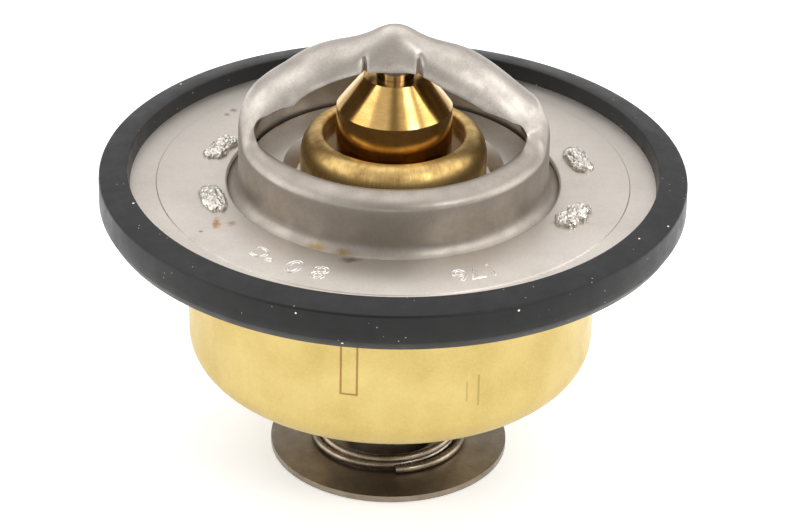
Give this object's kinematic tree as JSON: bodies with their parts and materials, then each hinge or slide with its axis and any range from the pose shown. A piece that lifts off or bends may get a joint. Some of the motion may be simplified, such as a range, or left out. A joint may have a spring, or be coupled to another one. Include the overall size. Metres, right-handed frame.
{
  "type": "engine thermostat",
  "caption": "Coolant valve insert: a wax element pushes on a bridged piston to open a sprung main valve and close a bypass disc.",
  "frame": {"origin": "on the axis, at the underside of the bypass disc", "axes": "+Z along the axis from the bypass disc to the bridge, X along the bridge's strap, camera side is -Y"},
  "size_m": [0.067, 0.067, 0.0542],
  "materials": {
    "rubber_black": "moulded satin black rubber",
    "rubber_inner": "moulded black rubber",
    "stainless_flange": "stamped stainless sheet, satin",
    "stainless_bridge": "drawn stainless sheet, satin",
    "stainless_plate": "stamped stainless sheet, satin",
    "zinc_yellow": "drawn steel, yellow chromate on zinc",
    "piston_steel": "hardened ground steel",
    "brass_turned": "bright turned brass",
    "brass_dull": "dull rolled brass",
    "steel_washer": "plain steel",
    "wax": "copper-filled wax",
    "spring_steel": "drawn spring wire",
    "spring_steel_dark": "oil-dark spring wire",
    "disc_steel": "oil-dark pressed steel"
  },
  "bodies": {
    "frame": {"flange_ring": "stainless_flange", "seal_ring": "rubber_black", "bridge": "stainless_bridge", "support_cup": "zinc_yellow", "piston": "piston_steel", "guide_bush": "brass_turned", "main_spring": "spring_steel"},
    "wax_element": {"wax_pot": "brass_dull", "piston_guide": "brass_turned", "guide_seal": "rubber_inner", "backup_washer": "steel_washer", "rubber_boot": "rubber_inner", "wax_charge": "wax", "valve_plate": "stainless_plate", "valve_retainer": "steel_washer", "bypass_stem": "piston_steel", "stem_clip": "spring_steel", "bypass_spring_seat": "steel_washer", "bypass_spring": "spring_steel_dark"},
    "bypass_valve": {"bypass_disc": "disc_steel"}
  },
  "joints": [
    {"name": "main_valve_slide", "type": "slide", "parent": "frame", "child": "wax_element", "axis": [0, 0, -1], "range_m": [0, 0.008], "stiffness_N_per_m": 5000, "springref_m": -0.01, "deforming": ["main_spring"]},
    {"name": "bypass_slide", "type": "slide", "parent": "wax_element", "child": "bypass_valve", "axis": [0, 0, 1], "range_m": [0, 0.004], "stiffness_N_per_m": 3000, "springref_m": -0.003, "deforming": ["bypass_spring"]}
  ]
}
